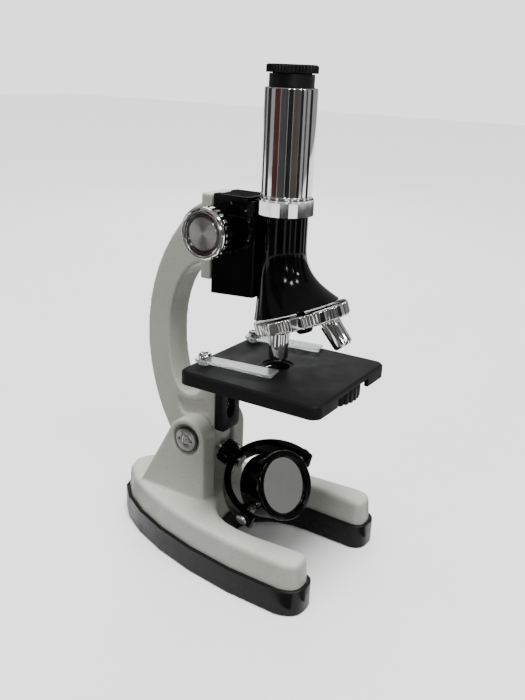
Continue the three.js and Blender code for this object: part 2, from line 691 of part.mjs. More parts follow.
function clipScrew(side) {
  const bottom = CLIP_LIFT + 2 * GAP + CLIP_THICKNESS;
  const top = bottom + 2.3;
  const head = turned([[0, bottom], [3, bottom], [3, top - 0.9], [2.2, top], [0, top]], 24);
  const cross = [[0.35, 1.5], [1.5, 0.35]].map(([x, y]) => block([-x, -y, bottom + 1.5], [x, y, bottom + 3]));
  const shank = rod(CLIP_SCREW, [0, 0, -STAGE_SKIRT + 1], [0, 0, bottom + 0.3], 18);
  const place = clipPlace(side);
  return join(cut(head, ...cross), shank).translate(place.x, place.y, place.z);
}

// ---- Focusing -----------------------------------------------------------------------------------
function rackScrewHeights() {
  return [PLATE_BOTTOM + 5, PLATE_TOP - 5];
}

function dovetail(spread) {
  const shape = new THREE.Shape();
  shape.moveTo(-RACK_NECK - spread, RACK_BACK + spread);
  shape.lineTo(-RACK_HALF - spread, RACK_FACE - spread);
  shape.lineTo(RACK_HALF + spread, RACK_FACE - spread);
  shape.lineTo(RACK_NECK + spread, RACK_BACK + spread);
  shape.closePath();
  return shape;
}

function toothGap(z) {
  const shape = new THREE.Shape();
  const pitch = Math.PI * TOOTH_MODULE;
  const slope = Math.tan(rad(20));
  const deep = RACK_PITCH + 1.3 * TOOTH_MODULE;
  const open = RACK_FACE - EPS;
  const atPitch = pitch * 0.29;
  const wide = atPitch + (RACK_PITCH - open) * slope;
  const narrow = atPitch - (deep - RACK_PITCH) * slope;
  shape.moveTo(open, z - wide);
  shape.lineTo(deep, z - narrow);
  shape.lineTo(deep, z + narrow);
  shape.lineTo(open, z + wide);
  shape.closePath();
  return alongX(shape, -PINION_WIDTH / 2 - 2 * GAP, PINION_WIDTH / 2 + 2 * GAP);
}

function focusRack() {
  const bar = alongZ(dovetail(0), PLATE_BOTTOM + 1, PLATE_TOP - 1);
  const pitch = Math.PI * TOOTH_MODULE;
  const gaps = [];
  for (let z = PINION_Z; z > PLATE_BOTTOM + 1; z -= pitch) {
    gaps.push(toothGap(z));
  }
  for (let z = PINION_Z + pitch; z < PLATE_TOP - 1; z += pitch) {
    gaps.push(toothGap(z));
  }
  const heights = rackScrewHeights();
  const front = RACK_FACE - 1;
  const holes = heights.map((z) => rod(SCREW_RADIUS + FIT, [0, front, z], [0, RACK_BACK + 1, z], 16));
  const sinks = heights.map((z) => rod(RACK_HEAD + GAP, [0, front, z], [0, RACK_FACE + RACK_HEAD_SINK, z], 20));
  return cut(bar, ...gaps, ...holes, ...sinks);
}

function rackScrew(z) {
  return join(
    rod(RACK_HEAD, [0, RACK_FACE + RACK_HEAD_TOP, z], [0, RACK_FACE + RACK_HEAD_SINK - 0.1, z], 20),
    rod(SCREW_RADIUS, [0, RACK_FACE + RACK_HEAD_TOP + 0.2, z], [0, PLATE_BACK + 2, z], 16),
  );
}

function pinionShaft() {
  const shape = new THREE.Shape();
  const tip = PITCH_RADIUS + 0.75 * TOOTH_MODULE;
  const root = PITCH_RADIUS - 1.15 * TOOTH_MODULE;
  for (let tooth = 0; tooth < PINION_TEETH; tooth += 1) {
    const corners = [[-0.2, root], [-0.09, tip], [0.09, tip], [0.2, root]];
    for (const [turn, reach] of corners) {
      const angle = ((tooth + turn) / PINION_TEETH) * 2 * Math.PI;
      const method = tooth === 0 && turn === -0.2 ? "moveTo" : "lineTo";
      shape[method](reach * Math.cos(angle), reach * Math.sin(angle));
    }
  }
  shape.closePath();
  const gear = alongX(shape, -PINION_WIDTH / 2, PINION_WIDTH / 2);
  const end = KNOB_FACE_X - 2.4 - GAP;
  return join(gear, rod(SHAFT_RADIUS, [-end, 0, 0], [end, 0, 0], 24)).translate(0, PINION_Y, PINION_Z);
}

function carriageBlock() {
  const wide = CARRIAGE_HALF_WIDTH;
  const slab = (front) => {
    const side = new THREE.Shape();
    side.moveTo(CARRIAGE_BACK, CARRIAGE_BOTTOM);
    side.lineTo(CARRIAGE_BACK, CARRIAGE_LEDGE);
    side.lineTo(front, CARRIAGE_LEDGE);
    side.lineTo(front, CARRIAGE_BOTTOM + CARRIAGE_RISE);
    side.closePath();
    return side;
  };
  const cap = block(
    [-wide + 0.6, CARRIAGE_FRONT_TOP, CARRIAGE_LEDGE - 1],
    [wide - 0.6, CARRIAGE_BACK, CARRIAGE_TOP],
  );
  const web = alongX(slab(AXIS_Y + 2), -CARRIAGE_WEB, CARRIAGE_WEB);
  const neck = block(
    [-CARRIAGE_WEB + 0.5, AXIS_Y, CARRIAGE_LEDGE - 1.5],
    [CARRIAGE_WEB - 0.5, CARRIAGE_FRONT_TOP + 1, CARRIAGE_TOP - 1],
  );
  const bossEnd = KNOB_FACE_X - KNOB_LENGTH - 2 * GAP;
  const boss = rod(BOSS_RADIUS, [-bossEnd, PINION_Y, PINION_Z], [bossEnd, PINION_Y, PINION_Z], 28);
  return join(alongX(slab(CARRIAGE_FRONT), -wide, wide), web, cap, neck, boss);
}

// Rings of the bell from the tube seat down to the tilted rim over the turret.
function bell() {
  const steps = 8;
  const sides = 36;
  const flareStart = 0.42;
  const positions = [];
  const indices = [];
  for (let step = 0; step <= steps; step += 1) {
    const down = step / steps;
    const flare = Math.max(0, (down - flareStart) / (1 - flareStart)) ** 1.9;
    const radius = BELL_RADIUS + (BELL_RIM_RADIUS - BELL_RADIUS) * flare;
    const y = AXIS_Y + (BELL_RIM_Y - AXIS_Y) * flare;
    const z = BELL_TOP + (BELL_RIM_Z - BELL_TOP) * down;
    const tilt = rad(TURRET_TILT) * THREE.MathUtils.smoothstep(down, 0.3, 1);
    for (let side = 0; side < sides; side += 1) {
      const angle = (side / sides) * 2 * Math.PI;
      const across = radius * Math.sin(angle);
      positions.push(radius * Math.cos(angle), y + across * Math.cos(tilt), z - across * Math.sin(tilt));
    }
  }
  for (let step = 0; step < steps; step += 1) {
    for (let side = 0; side < sides; side += 1) {
      const next = (side + 1) % sides;
      const high = step * sides;
      const low = high + sides;
      indices.push(high + side, low + side, low + next, high + side, low + next, high + next);
    }
  }
  const bottom = steps * sides;
  for (let side = 1; side + 1 < sides; side += 1) {
    indices.push(0, side, side + 1);
    indices.push(bottom, bottom + side + 1, bottom + side);
  }
  const geometry = new THREE.BufferGeometry();
  geometry.setAttribute("position", new THREE.Float32BufferAttribute(positions, 3));
  geometry.setIndex(indices);
  return geometry;
}

function carriageBody() {
  const shell = join(carriageBlock(), bell());
  const slot = alongZ(dovetail(GAP), CARRIAGE_BOTTOM - EPS, CARRIAGE_TOP + EPS);
  const wheelRoom = rod(
    PITCH_RADIUS + TOOTH_MODULE + 0.6,
    [-PINION_WIDTH / 2 - 0.8, PINION_Y, PINION_Z],
    [PINION_WIDTH / 2 + 0.8, PINION_Y, PINION_Z],
    28,
  );
  const wayIn = block(
    [-PINION_WIDTH / 2 - 0.7, PINION_Y + 0.7, PINION_Z - PITCH_RADIUS - 1],
    [PINION_WIDTH / 2 + 0.7, CARRIAGE_BACK + EPS, PINION_Z + PITCH_RADIUS + 1],
  );
  const shaftBore = rod(SHAFT_RADIUS + FIT, [-20, PINION_Y, PINION_Z], [20, PINION_Y, PINION_Z], 24);
  const light = rod(BELL_BORE, [0, AXIS_Y, BELL_RIM_Z - 20], [0, AXIS_Y, BELL_TOP + 5], 32);
  const seat = rod(RING_SPIGOT + GAP, [0, AXIS_Y, BELL_TOP - RING_SINK], [0, AXIS_Y, CARRIAGE_TOP + 5], 40);
  const ringRoom = rod(RING_RADIUS + GAP, [0, AXIS_Y, BELL_TOP], [0, AXIS_Y, CARRIAGE_TOP + 5], 48);
  const boltHole = turretBolt(TURRET_BOLT + FIT, TURRET_THICKNESS, -TURRET_BOLT_REACH - GAP);
  return cut(shell, slot, wheelRoom, wayIn, shaftBore, light, seat, ringRoom, boltHole);
}

function focusKnob(side) {
  const body = alongZ(flutedOutline(KNOB_RADIUS, 1.1, KNOB_TEETH, 0.45), 0, KNOB_LENGTH * 0.62, 4);
  const sleeve = turned([
    [0, KNOB_LENGTH * 0.6],
    [KNOB_RADIUS - 1.2, KNOB_LENGTH * 0.6],
    [KNOB_RADIUS - 0.2, KNOB_LENGTH * 0.64],
    [KNOB_RADIUS, KNOB_LENGTH * 0.8],
    [KNOB_RADIUS - 0.1, KNOB_LENGTH - 0.8],
    [KNOB_RADIUS - 0.9, KNOB_LENGTH],
    [KNOB_RADIUS - 2, KNOB_LENGTH],
    [KNOB_RADIUS - 2.4, KNOB_LENGTH - 1.2],
    [0, KNOB_LENGTH - 1.2],
  ], 32);
  const bore = rod(SHAFT_RADIUS + FIT, [0, 0, -EPS], [0, 0, KNOB_LENGTH - 2.4], 24);
  const place = new THREE.Matrix4().makeRotationY(side * Math.PI / 2);
  place.setPosition(side * (KNOB_FACE_X - KNOB_LENGTH), PINION_Y, PINION_Z);
  return cut(join(body, sleeve), bore).applyMatrix4(place);
}

function knobFace(side) {
  const rim = KNOB_RADIUS - 2.4 - GAP;
  const base = KNOB_LENGTH - 1.2 + GAP;
  const top = base + 0.7;
  const face = turned([[0, base], [rim, base], [rim, top], [rim - 0.6, top], [0, base + 0.35]], 28);
  const place = new THREE.Matrix4().makeRotationY(side * Math.PI / 2);
  place.setPosition(side * (KNOB_FACE_X - KNOB_LENGTH), PINION_Y, PINION_Z);
  return face.applyMatrix4(place);
}

// ---- Tube and eyepiece --------------------------------------------------------------------------
function tubeCollar() {
  const shape = new THREE.Shape();
  for (let facet = 0; facet < RING_FACETS; facet += 1) {
    const angle = (facet / RING_FACETS) * 2 * Math.PI;
    const method = facet === 0 ? "moveTo" : "lineTo";
    shape[method](RING_RADIUS * Math.cos(angle), RING_RADIUS * Math.sin(angle));
  }
  shape.closePath();
  const ring = join(
    alongZ(shape, RING_BOTTOM, RING_TOP - 0.9),
    ringOf(BELL_BORE, RING_RADIUS * 0.972, RING_TOP - 1.2, RING_TOP),
    ringOf(BELL_BORE, RING_SPIGOT, BELL_TOP - RING_SINK + GAP, RING_BOTTOM + 1),
  );
  const bore = rod(BELL_BORE, [0, 0, BELL_TOP - RING_SINK - 1], [0, 0, RING_TOP + 1], 32);
  const seat = rod(TUBE_RADIUS + FIT, [0, 0, RING_TOP - TUBE_SINK], [0, 0, RING_TOP + 1], 48);
  return cut(ring, bore, seat).translate(0, AXIS_Y, 0);
}

function bodyTube() {
  const bottom = RING_TOP - TUBE_SINK + GAP;
  const inner = TUBE_RADIUS - TUBE_WALL;
  return turned([
    [inner, bottom],
    [TUBE_RADIUS, bottom],
    [TUBE_RADIUS, TUBE_TOP - 0.5],
    [TUBE_RADIUS - 0.4, TUBE_TOP],
    [inner, TUBE_TOP],
    [inner, bottom],
  ], 36).translate(0, AXIS_Y, 0);
}

function eyepieceBarrel() {
  const bottom = TUBE_TOP - DRAW_LENGTH;
  const bore = DRAW_RADIUS - DRAW_WALL;
  const shoulder = EYEPIECE_TOP - FLANGE_THICKNESS - GAP;
  return turned([
    [bore, bottom],
    [DRAW_RADIUS, bottom],
    [DRAW_RADIUS, TUBE_TOP],
    [EYEPIECE_NECK, TUBE_TOP + 0.3],
    [EYEPIECE_NECK, shoulder],
    [bore, shoulder],
    [bore, bottom],
  ]).translate(0, AXIS_Y, 0);
}

function eyepieceCap() {
  const bottom = EYEPIECE_TOP - FLANGE_THICKNESS;
  const flange = alongZ(flutedOutline(FLANGE_RADIUS, 0.45, FLANGE_FLUTES), bottom, EYEPIECE_TOP - 0.5);
  const top = EYEPIECE_TOP;
  const rim = FLANGE_RADIUS - 0.5;
  const lip = turned([[0, top - 0.8], [rim, top - 0.8], [rim - 0.5, top], [0, top]], 24);
  const spigot = rod(DRAW_RADIUS - DRAW_WALL - GAP, [0, 0, bottom - 4], [0, 0, bottom + 1], 24);
  const low = top - 1.4;
  const dish = turned([[0, low], [EYE_BORE, low], [FLANGE_RADIUS - 2.4, top + GAP], [0, top + GAP]], 24);
  const bore = rod(EYE_BORE, [0, 0, bottom - 5], [0, 0, EYEPIECE_TOP + 1], 32);
  const lensSeat = rod(EYE_BORE + 1.6, [0, 0, bottom - 5], [0, 0, bottom - 1], 32);
  return cut(join(flange, lip, spigot), dish, bore, lensSeat).translate(0, AXIS_Y, 0);
}

// A biconvex lens: two shallow curves meeting in a thin edge.
function lens(radius, edge, crown) {
  const profile = [];
  const steps = 2;
  for (let step = 0; step <= steps; step += 1) {
    const reach = step / steps;
    profile.push([radius * reach, -edge / 2 - crown * (1 - reach ** 2)]);
  }
  for (let step = steps; step >= 0; step -= 1) {
    const reach = step / steps;
    profile.push([radius * reach, edge / 2 + crown * (1 - reach ** 2)]);
  }
  return turned(profile, 20);
}

function eyeLens() {
  const top = EYEPIECE_TOP - FLANGE_THICKNESS - 1;
  return lens(EYE_BORE + 1.6 - GAP, 1, 0.6).translate(0, AXIS_Y, top - 1.5);
}

function fieldLens() {
  return lens(DRAW_RADIUS - DRAW_WALL - GAP, 1.2, 1).translate(0, AXIS_Y, TUBE_TOP - DRAW_LENGTH + 4);
}

// ---- Turret -------------------------------------------------------------------------------------
// Turns a piece made on +Z at the origin so that +Z is the turret's axis pointing up into the bell.
function turretMatrix() {
  const matrix = new THREE.Matrix4().makeRotationX(-rad(TURRET_TILT));
  return matrix.setPosition(0, TURRET_Y, TURRET_Z);
}

function turretBolt(radius, from, to) {
  return rod(radius, [0, 0, -from], [0, 0, -to], 24).applyMatrix4(turretMatrix());
}

// How far the disc's centre is from the optical axis, measured in the disc's plane.
function turretOffset() {
  return (AXIS_Y - TURRET_Y) / Math.cos(rad(TURRET_TILT));
}

// Places a piece made along -Z so that it is an objective: the first one looks straight down.
function objectiveMatrix(index) {
  const spin = new THREE.Matrix4().makeRotationZ(index * Math.PI);
  const lean = new THREE.Matrix4().makeRotationX(rad(TURRET_TILT));
  lean.setPosition(0, turretOffset(), 0);
  return turretMatrix().multiply(spin).multiply(lean);
}

function turretDisc() {
  const half = TURRET_THICKNESS / 2;
  const shape = flutedOutline(TURRET_RADIUS, 0.5, TURRET_FLUTES, 0.55);
  const land = TURRET_RADIUS - 0.5;
  const body = turned([
    [0, -half],
    [land - 0.9, -half],
    [land, -half + 0.9],
    [land, half - 0.9],
    [land - 0.7, half],
    [0, half],
  ], 36);
  const disc = join(alongZ(shape, -half + 0.8, half - 0.8), body);
  const bolt = rod(TURRET_BOLT + FIT, [0, 0, -half - 1], [0, 0, half + 1], 24);
  const matrix = turretMatrix();
  const back = matrix.clone().invert();
  const seats = OBJECTIVE_LENGTHS.map((length, index) => {
    const hole = rod(OBJECTIVE_THREAD + GAP, [0, 0, -10], [0, 0, 10], 32);
    return hole.applyMatrix4(objectiveMatrix(index)).applyMatrix4(back);
  });
  return cut(disc, bolt, ...seats).applyMatrix4(matrix);
}

function turretScrew() {
  const half = TURRET_THICKNESS / 2;
  const head = turned([
    [0, -half - GAP],
    [TURRET_BOLT_HEAD, -half - GAP],
    [TURRET_BOLT_HEAD, -half - 3],
    [TURRET_BOLT_HEAD - 0.8, -half - 4],
    [0, -half - 4],
  ].reverse(), 24);
  const shank = rod(TURRET_BOLT, [0, 0, -half - 1], [0, 0, TURRET_BOLT_REACH], 20);
  return join(head, shank).applyMatrix4(turretMatrix());
}

function objective(index) {
  const tip = -OBJECTIVE_LENGTHS[index];
  const under = -TURRET_THICKNESS / 2 - OBJECTIVE_RADIUS * Math.tan(rad(TURRET_TILT)) - GAP;
  const barrel = turned([
    [0, tip],
    [OBJECTIVE_RADIUS - 1.1, tip],
    [OBJECTIVE_RADIUS - 0.3, tip + 0.9],
    [OBJECTIVE_RADIUS, under],
    [OBJECTIVE_THREAD, under],
    [OBJECTIVE_THREAD, 1],
    [0, 1],
  ], 28);
  const bore = rod(OBJECTIVE_BORE, [0, 0, tip - 1], [0, 0, 3], 24);
  const front = rod(OBJECTIVE_BORE + 0.6, [0, 0, tip - 1], [0, 0, tip + 1.8], 24);
  return cut(barrel, bore, front).applyMatrix4(objectiveMatrix(index));
}

function objectiveLens(index) {
  const middle = -OBJECTIVE_LENGTHS[index] + 1;
  const glass = lens(OBJECTIVE_BORE + 0.6 - GAP, 0.5, 0.25).translate(0, 0, middle);
  return glass.applyMatrix4(objectiveMatrix(index));
}

// ---- Mirror -------------------------------------------------------------------------------------
function stemDirection() {
  const slope = rad(FORK_SLOPE);
  return new THREE.Vector3(0, Math.cos(slope), Math.sin(slope));
}

function stemPoint(distance) {
  const reach = HUB_START + HUB_LENGTH + distance;
  return new THREE.Vector3(...DRUM_CENTRE).addScaledVector(stemDirection(), reach).toArray();
}

// A frame with its origin in the drum's centre, X along the fork's pins and Y along the stem.
function forkMatrix() {
  const stem = stemDirection();
  const side = new THREE.Vector3(1, 0, 0).applyAxisAngle(stem, -rad(FORK_ROLL));
  const up = side.clone().cross(stem);
  return new THREE.Matrix4().makeBasis(side, stem, up).setPosition(...DRUM_CENTRE);
}

// The drum's own frame: X along the pins, Z out of the mirror.
function drumMatrix() {
  return forkMatrix().multiply(new THREE.Matrix4().makeRotationX(rad(90 - DRUM_PITCH)));
}

function mirrorFork() {
  const shape = new THREE.Shape();
  const reach = 3.4;
  const middle = (FORK_INNER + FORK_OUTER) / 2;
  const half = (FORK_OUTER - FORK_INNER) / 2;
  shape.moveTo(FORK_INNER, -reach);
  shape.absarc(middle, -reach, half, Math.PI, 2 * Math.PI, false);
  shape.lineTo(FORK_OUTER, 0);
  shape.absarc(0, 0, FORK_OUTER, 0, Math.PI, false);
  shape.lineTo(-FORK_OUTER, -reach);
  shape.absarc(-middle, -reach, half, Math.PI, 2 * Math.PI, false);
  shape.lineTo(-FORK_INNER, 0);
  shape.absarc(0, 0, FORK_INNER, Math.PI, 0, true);
  shape.closePath();
  const yoke = alongZ(shape, -FORK_WIDTH / 2, FORK_WIDTH / 2, 14);
  const boss = rod(HUB_RADIUS - 1.2, [0, FORK_INNER + 1.4, 0], [0, HUB_START + 0.8, 0], 28);
  const pins = [-1, 1].map((side) => {
    return rod(PIN_RADIUS + FIT, [side * (FORK_INNER - 2), 0, 0], [side * (FORK_OUTER + 2), 0, 0], 20);
  });
  const stem = rod(STEM_RADIUS + FIT, [0, FORK_INNER - 1, 0], [0, HUB_START + 2, 0], 20);
  return cut(join(yoke, boss), ...pins, stem).applyMatrix4(forkMatrix());
}

function forkStem() {
  const end = HUB_START + HUB_LENGTH + STEM_REACH;
  return join(
    rod(STEM_RADIUS, [0, FORK_INNER - 1, 0], [0, end, 0], 20),
    rod(STEM_RADIUS + 1, [0, FORK_INNER - 1.3, 0], [0, FORK_INNER - 0.6, 0], 20),
  ).applyMatrix4(forkMatrix());
}

function stemNut() {
  const shape = circleHole(flutedOutline(HUB_RADIUS, 0.8, 12), 0, 0, STEM_RADIUS + FIT);
  const nut = alongZ(shape, 0, HUB_LENGTH - 2 * GAP - 0.8, 6).rotateX(-Math.PI / 2);
  return nut.translate(0, HUB_START + 0.8 + GAP, 0).applyMatrix4(forkMatrix());
}

function forkPin(side) {
  const head = FORK_OUTER + GAP;
  return join(
    rod(PIN_RADIUS, [side * (DRUM_RADIUS - 1), 0, 0], [side * (head + 0.4), 0, 0], 20),
    rod(PIN_RADIUS + 1, [side * head, 0, 0], [side * (head + 1.3), 0, 0], 20),
  ).applyMatrix4(forkMatrix());
}

function mirrorDrum() {
  const half = DRUM_DEPTH / 2;
  const inner = DRUM_RADIUS - DRUM_WALL;
  const drum = turned([
    [LAMP_RADIUS + 0.3, -half],
    [DRUM_RADIUS - 2.6, -half],
    [DRUM_RADIUS - 1.2, -half + 1.2],
    [DRUM_RADIUS - 0.6, half - 3],
    [DRUM_RADIUS, half - 2.6],
    [DRUM_RADIUS, half - 0.6],
    [DRUM_RADIUS - 0.6, half],
    [MIRROR_RADIUS + 0.6, half],
    [MIRROR_RADIUS, half - 1],
    [MIRROR_RADIUS, half - 1.6],
    [inner, half - 1.6],
    [inner, -half + 1.8],
    [LAMP_RADIUS + 0.3, -half + 1.8],
    [LAMP_RADIUS + 0.3, -half],
  ], 36);
  const pins = [-1, 1].map((side) => {
    return rod(PIN_RADIUS + FIT, [side * (DRUM_RADIUS - 4), 0, 0], [side * (DRUM_RADIUS + 2), 0, 0], 20);
  });
  return cut(drum, ...pins).applyMatrix4(drumMatrix());
}

function mirrorGlass() {
  const front = DRUM_DEPTH / 2 - 1.6 - GAP;
  return rod(DRUM_RADIUS - DRUM_WALL - GAP, [0, 0, front - 1.6], [0, 0, front], 32).applyMatrix4(drumMatrix());
}

function lampWindow() {
  const back = -DRUM_DEPTH / 2;
  const flange = LAMP_RADIUS + 1.8;
  return turned([
    [0, back - 0.2],
    [LAMP_RADIUS - 1, back],
    [LAMP_RADIUS, back + 0.4],
    [LAMP_RADIUS, back + 2.1],
    [flange, back + 2.1],
    [flange, back + 3],
    [0, back + 3],
  ], 24).applyMatrix4(drumMatrix());
}

function lampBoard() {
  const low = -DRUM_DEPTH / 2 + 5.4;
  const board = ringOf(2.8, DRUM_RADIUS - DRUM_WALL - 3, low, low + 1.2, 24);
  return board.applyMatrix4(drumMatrix());
}

function lampBulb() {
  const low = -DRUM_DEPTH / 2 + 3.6;
  const top = low + 4.4;
  const bulb = turned([[0, low], [1.3, low + 0.3], [2.3, low + 1.4], [2.5, low + 2], [2.5, top], [0, top]], 24);
  return bulb.applyMatrix4(drumMatrix());
}

// ---- The assembly -------------------------------------------------------------------------------
add("base_shoe", baseShoe(), "black");
add("base_casting", baseCasting(), "white");
shoeScrewPlaces().forEach((place, index) => add(`shoe_screw_${index + 1}`, shoeScrew(place), "steel"));
add("pivot_shaft", pivotShaft(), "steel");
add("arm_casting", armCasting(), "white");
add("stage_plate", stagePlate(), "satin");
add("stage_post", stagePost(), "satin");
add("post_screw", postScrew(), "steel");
add("diaphragm_wheel", diaphragmWheel(), "satin");
add("diaphragm_rivet", diaphragmRivet(), "steel");
for (const [name, side] of [["left", -1], ["right", 1]]) {
  add(`pivot_disc_${name}`, pivotDisc(side), "steel");
  add(`pivot_screw_${name}`, pivotScrew(side), "steel");
  add(`stage_screw_${name}`, stageScrew(side), "steel");
  add(`stage_clip_${name}`, stageClip(side), "clear");
  add(`clip_collar_${name}`, clipCollar(side), "clear");
  add(`clip_screw_${name}`, clipScrew(side), "chrome");
  add(`focus_knob_${name}`, focusKnob(side), "chrome");
  add(`knob_face_${name}`, knobFace(side), "steel");
  add(`fork_pin_${name}`, forkPin(side), "steel");
}
add("focus_rack", focusRack(), "brass");
rackScrewHeights().forEach((z, index) => add(`rack_screw_${index + 1}`, rackScrew(z), "steel"));
add("pinion_shaft", pinionShaft(), "steel");
add("carriage_body", carriageBody(), "black");
add("tube_collar", tubeCollar(), "chrome");
add("body_tube", bodyTube(), "chrome");
add("eyepiece_barrel", eyepieceBarrel(), "satin");
add("eyepiece_cap", eyepieceCap(), "satin");
add("eye_lens", eyeLens(), "clear");
add("field_lens", fieldLens(), "clear");
add("turret_disc", turretDisc(), "chrome");
add("turret_screw", turretScrew(), "black");
OBJECTIVE_LENGTHS.forEach((length, index) => {
  add(`objective_${index + 1}`, objective(index), "chrome");
  add(`objective_lens_${index + 1}`, objectiveLens(index), "clear");
});
add("mirror_fork", mirrorFork(), "black");
add("fork_stem", forkStem(), "steel");
add("stem_nut", stemNut(), "black");
add("mirror_drum", mirrorDrum(), "black");
add("mirror_glass", mirrorGlass(), "mirror");
add("lamp_window", lampWindow(), "clear");
add("lamp_board", lampBoard(), "satin");
add("lamp_bulb", lampBulb(), "clear");

export default group;
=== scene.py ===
"""A small school microscope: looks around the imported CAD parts. Lengths in the helpers are millimetres."""
import math

import bmesh
import bpy
from mathutils import Matrix, Vector


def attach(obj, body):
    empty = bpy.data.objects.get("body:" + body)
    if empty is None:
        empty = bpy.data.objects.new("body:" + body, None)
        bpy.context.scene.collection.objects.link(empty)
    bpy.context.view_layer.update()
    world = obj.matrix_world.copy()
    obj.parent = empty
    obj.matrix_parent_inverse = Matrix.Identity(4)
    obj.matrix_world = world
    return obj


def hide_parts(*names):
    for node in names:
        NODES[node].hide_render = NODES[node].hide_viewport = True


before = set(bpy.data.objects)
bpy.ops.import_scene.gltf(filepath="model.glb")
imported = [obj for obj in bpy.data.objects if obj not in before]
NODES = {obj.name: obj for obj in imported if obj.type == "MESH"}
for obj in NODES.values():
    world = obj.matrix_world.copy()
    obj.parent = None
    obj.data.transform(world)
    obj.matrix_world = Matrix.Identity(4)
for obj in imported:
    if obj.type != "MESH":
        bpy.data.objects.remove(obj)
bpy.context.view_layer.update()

MM = 0.001
AXIS_Y = -23.7

# ---- Materials ----------------------------------------------------------------------------------


class Look:
    """One node material around a Principled shader, with short calls for its textures."""

    def __init__(self, name, base, roughness, metallic=0.0, **sockets):
        self.material = bpy.data.materials.new(name)
        self.material.use_nodes = True
        self.tree = self.material.node_tree
        self.shader = self.tree.nodes["Principled BSDF"]
        self.shader.inputs["Base Color"].default_value = (*base, 1.0)
        self.shader.inputs["Roughness"].default_value = roughness
        self.shader.inputs["Metallic"].default_value = metallic
        for socket, value in sockets.items():
            self.shader.inputs[socket.replace("_", " ")].default_value = value
        self.height = None
        self.place = self.tree.nodes.new("ShaderNodeTexCoord").outputs["Object"]

    def link(self, source, target):
        self.tree.links.new(source, target)

    def noise(self, size_mm, detail=3.0, stretch=None):
        """A noise value whose blobs are about size_mm across."""
        place = self.place
        if stretch:
            mapping = self.tree.nodes.new("ShaderNodeMapping")
            mapping.inputs["Scale"].default_value = stretch
            self.link(place, mapping.inputs["Vector"])
            place = mapping.outputs["Vector"]
        node = self.tree.nodes.new("ShaderNodeTexNoise")
        node.inputs["Scale"].default_value = 1.0 / (size_mm * MM)
        node.inputs["Detail"].default_value = detail
        self.link(place, node.inputs["Vector"])
        return node.outputs["Fac"]

    def curve(self, value, low, high, start=0.35, end=0.65):
        node = self.tree.nodes.new("ShaderNodeMapRange")
        node.inputs["From Min"].default_value = start
        node.inputs["From Max"].default_value = end
        node.inputs["To Min"].default_value = low
        node.inputs["To Max"].default_value = high
        self.link(value, node.inputs["Value"])
        return node.outputs["Result"]

    def tint(self, value, colour, amount, start=0.4, end=0.7):
        """Mixes colour into the base where value is high."""
        node = self.tree.nodes.new("ShaderNodeMix")
        node.data_type = "RGBA"
        target = self.shader.inputs["Base Color"]
        if target.is_linked:
            self.link(target.links[0].from_socket, node.inputs["A"])
        else:
            node.inputs["A"].default_value = target.default_value[:]
        node.inputs["B"].default_value = (*colour, 1.0)
        self.link(self.curve(value, 0.0, amount, start, end), node.inputs["Factor"])
        self.link(node.outputs["Result"], target)
        return self

    def rough(self, value, low, high):
        self.link(self.curve(value, low, high), self.shader.inputs["Roughness"])
        return self

    def bump(self, value, depth_mm, strength=0.5):
        node = self.tree.nodes.new("ShaderNodeBump")
        node.inputs["Distance"].default_value = depth_mm * MM
        node.inputs["Strength"].default_value = strength
        self.link(value, node.inputs["Height"])
        if self.height:
            self.link(self.height, node.inputs["Normal"])
        self.height = node.outputs["Normal"]
        self.link(self.height, self.shader.inputs["Normal"])
        return self


def cast_paint():
    look = Look(
        "cast_paint", (0.51, 0.515, 0.46), 0.42,
        Specular_IOR_Level=0.45, Coat_Weight=0.12, Coat_Roughness=0.3,
    )
    look.tint(look.noise(26, 4), (0.42, 0.425, 0.375), 0.4)
    look.tint(look.noise(1.3, 2), (0.27, 0.265, 0.235), 0.5, 0.62, 0.72)
    look.tint(look.noise(0.8, 2), (0.66, 0.66, 0.62), 0.3, 0.6, 0.7)
    look.rough(look.noise(7, 3), 0.36, 0.5)
    look.bump(look.noise(5.5, 2), 0.16, 0.4)
    look.bump(look.noise(0.85, 3), 0.06, 0.6)
    return look.material


def shoe_black():
    look = Look("shoe_black", (0.0065, 0.0072, 0.0068), 0.34, Specular_IOR_Level=0.15)
    look.tint(look.noise(18, 4), (0.012, 0.013, 0.0125), 0.5)
    look.tint(look.noise(1.6, 5, (1, 1, 3.5)), (0.035, 0.037, 0.035), 0.2, 0.64, 0.76)
    look.rough(look.noise(9, 5), 0.22, 0.42)
    look.bump(look.noise(3, 3), 0.05, 0.3)
    return look.material


def gloss_black():
    look = Look("gloss_black", (0.0014, 0.0014, 0.0016), 0.07, Specular_IOR_Level=0.14)
    look.tint(look.noise(8, 4), (0.004, 0.004, 0.0042), 0.5)
    look.tint(look.noise(0.5, 2), (0.03, 0.03, 0.03), 0.2, 0.7, 0.78)
    look.rough(look.noise(12, 4), 0.05, 0.11)
    look.bump(look.noise(6, 2), 0.05, 0.25)
    look.bump(look.noise(0.9, 2), 0.008, 0.3)
    return look.material


def stage_black():
    look = Look("stage_black", (0.0065, 0.0065, 0.0068), 0.52, Specular_IOR_Level=0.13)
    look.tint(look.noise(30, 4), (0.0095, 0.0095, 0.0095), 0.4)
    look.tint(look.noise(1.0, 3), (0.026, 0.026, 0.026), 0.22, 0.62, 0.74)
    look.rough(look.noise(11, 4), 0.46, 0.56)
    look.bump(look.noise(0.45, 3), 0.02, 0.5)
    return look.material


def knurled_black():
    look = Look("knurled_black", (0.003, 0.003, 0.0032), 0.42, Specular_IOR_Level=0.2)
    look.tint(look.noise(5, 4), (0.009, 0.009, 0.009), 0.5)
    look.rough(look.noise(4, 3), 0.32, 0.5)
    look.bump(look.noise(0.35, 2), 0.015, 0.5)
    return look.material


